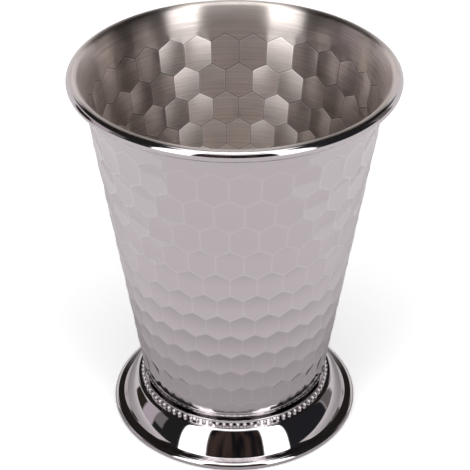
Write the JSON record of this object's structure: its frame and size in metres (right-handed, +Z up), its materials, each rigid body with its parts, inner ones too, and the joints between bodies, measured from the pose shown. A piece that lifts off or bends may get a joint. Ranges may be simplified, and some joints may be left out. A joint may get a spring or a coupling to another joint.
{
  "type": "julep cup",
  "caption": "Footed metal drinking cup: tapered hammered beaker with a rolled rim on a flared foot with a beaded wire round the joint.",
  "frame": {"origin": "centre of the circle that the foot stands on", "axes": "+Z up along the cup's axis, towards its mouth"},
  "size_m": [0.09, 0.09, 0.11],
  "materials": {
    "hammered_steel": "polished hammered outside, brushed inside",
    "polished_steel": "mirror polish",
    "bead_steel": "mirror polish"
  },
  "bodies": {
    "root": {"beaker": "hammered_steel", "foot": "polished_steel", "bead_ring": "bead_steel"}
  },
  "joints": []
}
